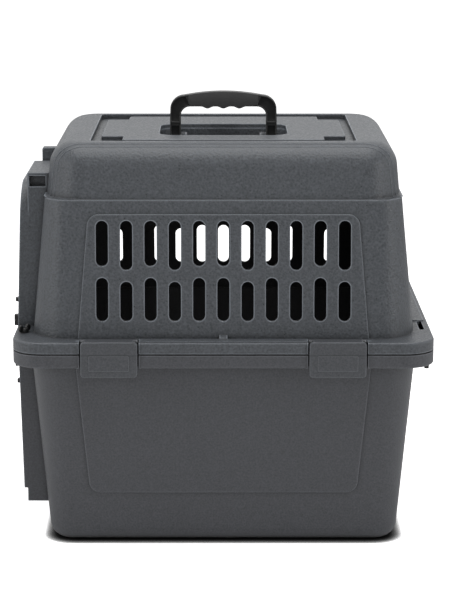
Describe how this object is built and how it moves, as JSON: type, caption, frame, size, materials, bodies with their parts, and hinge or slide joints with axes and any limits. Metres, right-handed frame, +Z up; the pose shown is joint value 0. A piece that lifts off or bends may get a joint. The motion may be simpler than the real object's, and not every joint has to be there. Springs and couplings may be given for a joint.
{
  "type": "pet carrier",
  "caption": "Moulded plastic pet carrier: two drafted shells joined at a clipped flange, with vent slots, a wire door at one end and a folding handle on the roof.",
  "frame": {"origin": "on the floor, under the middle of the two shells", "axes": "-X towards the door end, -Y towards the side with the door latch, +Z up"},
  "size_m": [0.5325, 0.446, 0.5566],
  "materials": {
    "upper_plastic": "fine moulded grain",
    "lower_plastic": "fine moulded grain, smoother",
    "panel_plastic": "fine moulded grain",
    "clip_plastic": "smooth satin",
    "handle_plastic": "satin black",
    "latch_plastic": "satin black",
    "nut_plastic": "satin black",
    "door_wire": "plated wire",
    "pin_steel": "drawn steel"
  },
  "bodies": {
    "carrier": {"upper_shell": "upper_plastic", "lower_shell": "lower_plastic", "roof_panel": "panel_plastic", "handle_pins": "pin_steel", "clip_pins": "pin_steel", "corner_bolts": "pin_steel", "wing_nuts": "nut_plastic", "rear_pegs": "nut_plastic"},
    "handle": {"handle": "handle_plastic"},
    "clip_near_front": {"clip_near_front": "clip_plastic"},
    "clip_near_rear": {"clip_near_rear": "clip_plastic"},
    "clip_far_front": {"clip_far_front": "clip_plastic"},
    "clip_far_rear": {"clip_far_rear": "clip_plastic"},
    "door": {"door_grille": "door_wire", "latch_housing": "latch_plastic", "latch_guides": "latch_plastic", "latch_spring_upper": "pin_steel", "latch_spring_lower": "pin_steel"},
    "latch_upper": {"latch_slide_upper": "latch_plastic", "latch_rod_upper": "pin_steel"},
    "latch_lower": {"latch_slide_lower": "latch_plastic", "latch_rod_lower": "pin_steel"}
  },
  "joints": [
    {"name": "handle_fold", "type": "hinge", "parent": "carrier", "child": "handle", "pos_m": [0, 0, 0.4985], "axis": [1, 0, 0], "range_deg": [0, 88]},
    {"name": "clip_near_front_swing", "type": "hinge", "parent": "carrier", "child": "clip_near_front", "pos_m": [-0.1412, -0.2069, 0.2689], "axis": [-1, 0, 0], "range_deg": [0, 105]},
    {"name": "clip_near_rear_swing", "type": "hinge", "parent": "carrier", "child": "clip_near_rear", "pos_m": [0.1412, -0.2069, 0.2689], "axis": [-1, 0, 0], "range_deg": [0, 105]},
    {"name": "clip_far_front_swing", "type": "hinge", "parent": "carrier", "child": "clip_far_front", "pos_m": [-0.1412, 0.2069, 0.2689], "axis": [1, 0, 0], "range_deg": [0, 105]},
    {"name": "clip_far_rear_swing", "type": "hinge", "parent": "carrier", "child": "clip_far_rear", "pos_m": [0.1412, 0.2069, 0.2689], "axis": [1, 0, 0], "range_deg": [0, 105]},
    {"name": "door_swing", "type": "hinge", "parent": "carrier", "child": "door", "pos_m": [-0.2465, 0.094, 0.255], "axis": [0, 0, -1], "range_deg": [0, 90]},
    {"name": "latch_upper_squeeze", "type": "slide", "parent": "door", "child": "latch_upper", "axis": [0, 0, -1], "range_m": [0, 0.008], "stiffness_N_per_m": 350, "springref_m": -0.008, "deforming": ["latch_spring_upper"]},
    {"name": "latch_lower_squeeze", "type": "slide", "parent": "door", "child": "latch_lower", "axis": [0, 0, 1], "range_m": [0, 0.008], "stiffness_N_per_m": 350, "springref_m": -0.008, "deforming": ["latch_spring_lower"]}
  ],
  "couplings": [
    {"joint": "latch_lower_squeeze", "follows": "latch_upper_squeeze", "ratio": 1}
  ]
}
